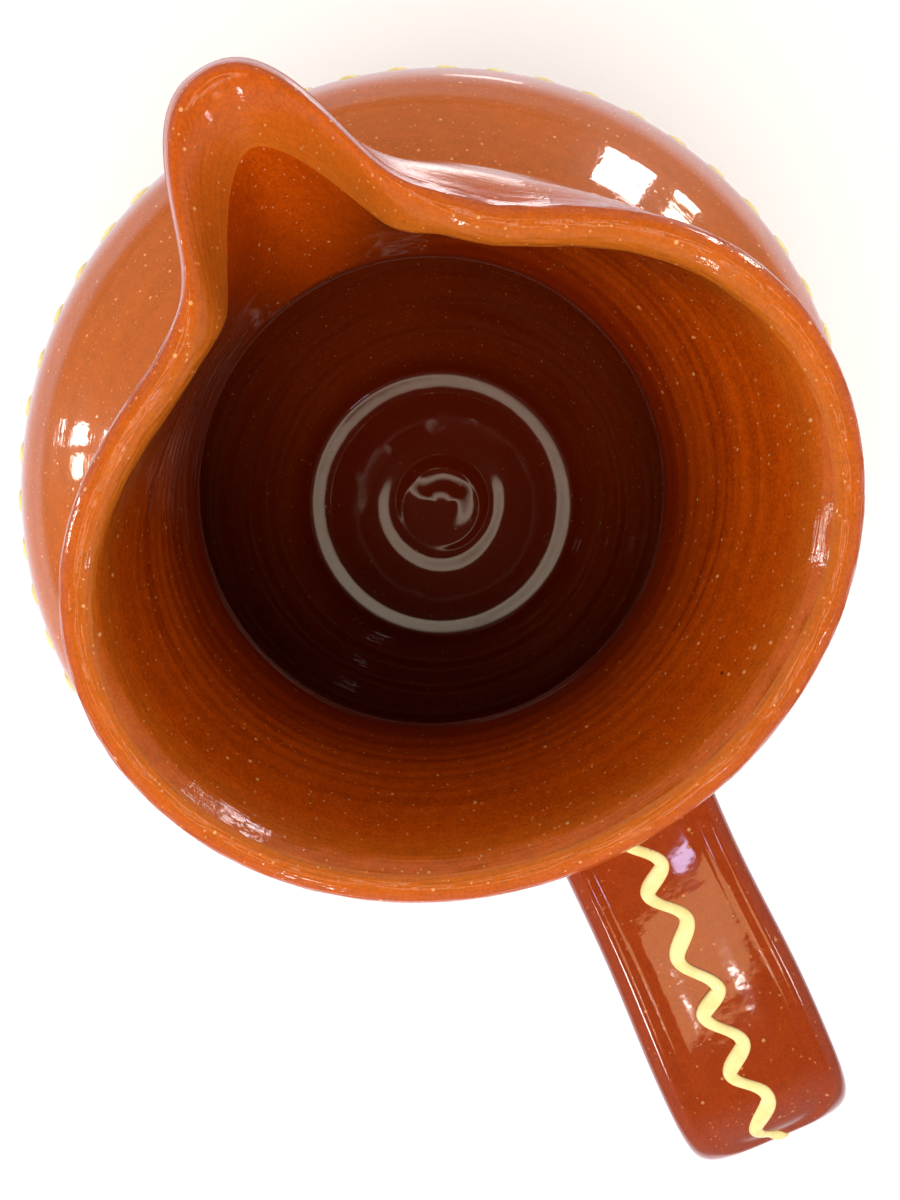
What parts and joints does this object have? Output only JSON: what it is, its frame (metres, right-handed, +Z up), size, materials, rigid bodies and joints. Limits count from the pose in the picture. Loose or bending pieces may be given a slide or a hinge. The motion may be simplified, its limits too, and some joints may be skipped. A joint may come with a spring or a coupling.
{
  "type": "pitcher",
  "caption": "Round-bellied glazed terracotta pitcher with a flared collar, a pulled spout opposite a strap handle, and wavy lines of cream slip on handle and shoulder.",
  "frame": {"origin": "middle of the flat base, on the wheel axis the belly was thrown on", "axes": "+Z up the wheel axis, +X towards the spout; the handle is at -X"},
  "size_m": [0.2242, 0.1919, 0.18],
  "materials": {
    "amber_glazed_clay": "gloss",
    "cream_slip": "gloss"
  },
  "bodies": {
    "root": {"thrown_body": "amber_glazed_clay", "strap_handle": "amber_glazed_clay", "upper_luting": "amber_glazed_clay", "lower_luting": "amber_glazed_clay", "handle_slip_trail": "cream_slip", "belly_slip_wave": "cream_slip"}
  },
  "joints": []
}
